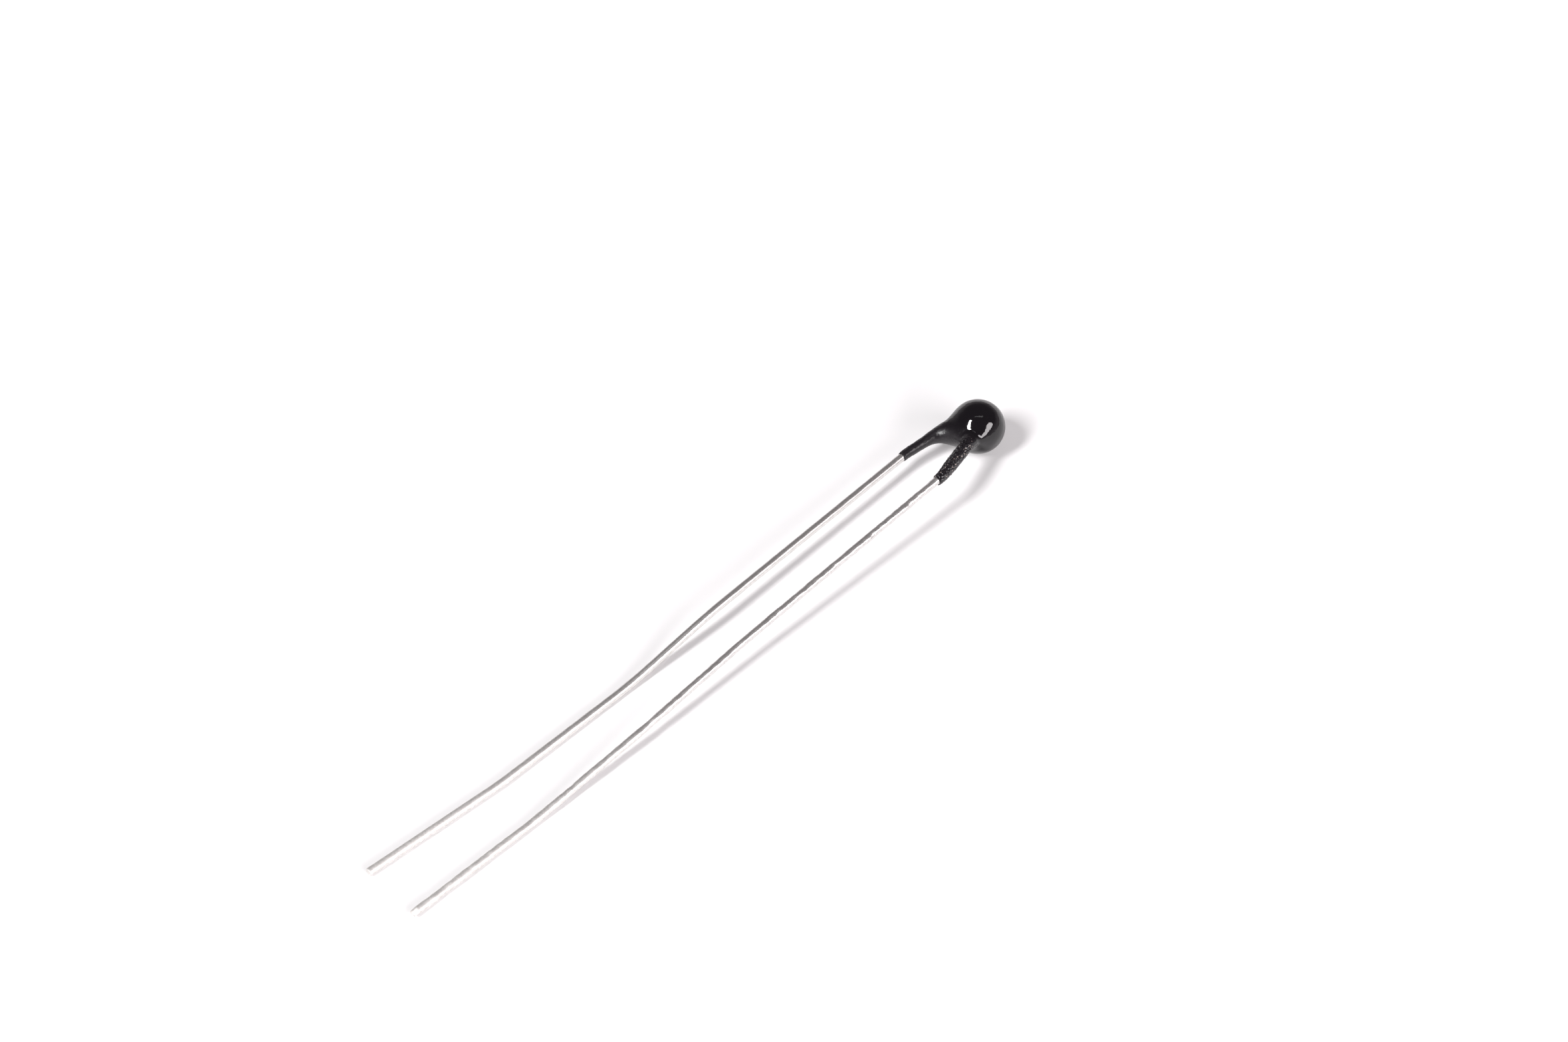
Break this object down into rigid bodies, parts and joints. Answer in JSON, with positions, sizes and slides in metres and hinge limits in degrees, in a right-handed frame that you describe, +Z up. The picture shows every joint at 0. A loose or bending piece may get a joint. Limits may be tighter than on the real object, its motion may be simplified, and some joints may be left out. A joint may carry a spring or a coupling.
{
  "type": "thermistor",
  "caption": "Bead thermistor: a ball of glossy black epoxy that has run down the roots of bare, tinned, hand-bent wire leads, lying on its side as it comes to rest.",
  "frame": {"origin": "centre of the part's box, at its underside, on the surface that it lies on", "axes": "+X runs along the leads from their cut tips to the bead, +Y points to the left lead, +Z is up"},
  "size_m": [0.0293, 0.0026, 0.002],
  "materials": {
    "epoxy": "glossy dipped black epoxy, grainy where it thins out on the leads",
    "tinned_wire": "bright hot-tinned wire, slightly lumpy",
    "ceramic_chip": "dark sintered metal oxide, matt",
    "silver_electrode": "fired silver, satin",
    "solder": "dull solder"
  },
  "bodies": {
    "root": {"epoxy_coating": "epoxy", "lead_left": "tinned_wire", "lead_right": "tinned_wire", "ntc_chip": "ceramic_chip", "electrode_left": "silver_electrode", "electrode_right": "silver_electrode", "solder_left": "solder", "solder_right": "solder"}
  },
  "joints": []
}
